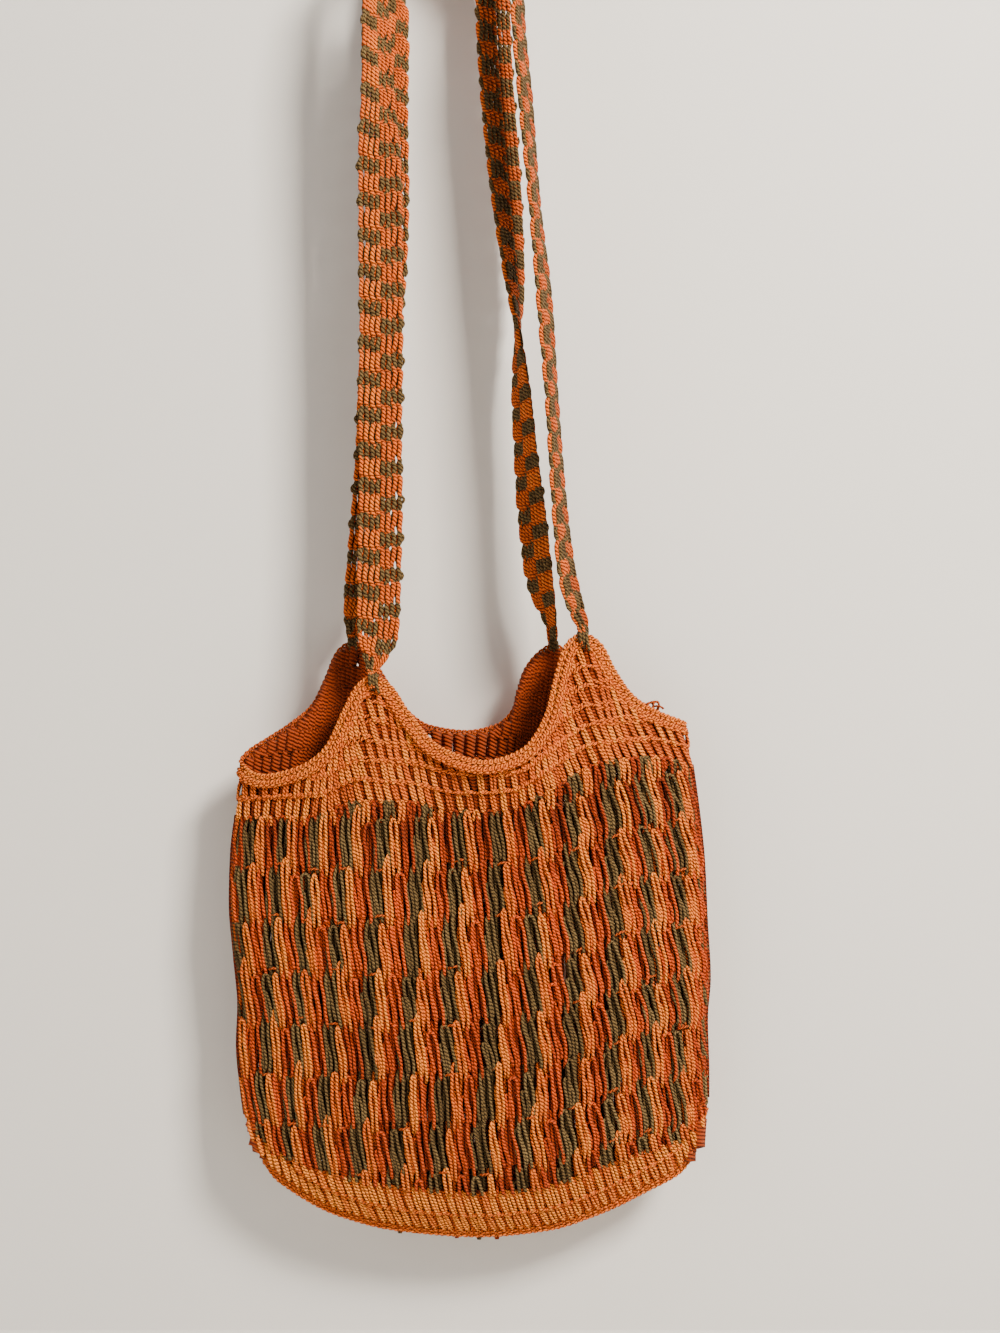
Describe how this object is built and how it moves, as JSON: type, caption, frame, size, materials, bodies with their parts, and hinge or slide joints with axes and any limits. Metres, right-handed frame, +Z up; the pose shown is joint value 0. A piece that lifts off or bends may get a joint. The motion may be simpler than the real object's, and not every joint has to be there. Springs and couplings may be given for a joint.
{
  "type": "bilum string bag",
  "caption": "Looped-yarn string bag hanging empty from two knitted shoulder straps, with a striped pouch, a plain four-peaked yoke and a plain bottom band.",
  "frame": {"origin": "hang point: the top of the peg under both straps, midway between them", "axes": "+Z up along the pull of the straps, +X to the right of someone facing the bag, +Y towards the wall behind it"},
  "size_m": [0.337, 0.07, 0.9365],
  "materials": {
    "tan_yarn": "matte two-ply tan yarn",
    "striped_yarn": "matte two-ply yarn in upright olive, tan and rust stripes",
    "checked_yarn": "matte knitted band in tan and olive checks",
    "olive_yarn": "matte two-ply olive yarn"
  },
  "bodies": {
    "root": {"striped_pouch": "striped_yarn", "bottom_band": "tan_yarn", "yoke": "tan_yarn", "rim_edging": "tan_yarn", "seam_edging": "tan_yarn", "strap_front": "checked_yarn", "strap_back": "checked_yarn", "strap_knot_front_left": "olive_yarn", "strap_knot_front_right": "olive_yarn", "strap_knot_back_right": "olive_yarn", "strap_knot_back_left": "olive_yarn"}
  },
  "joints": []
}
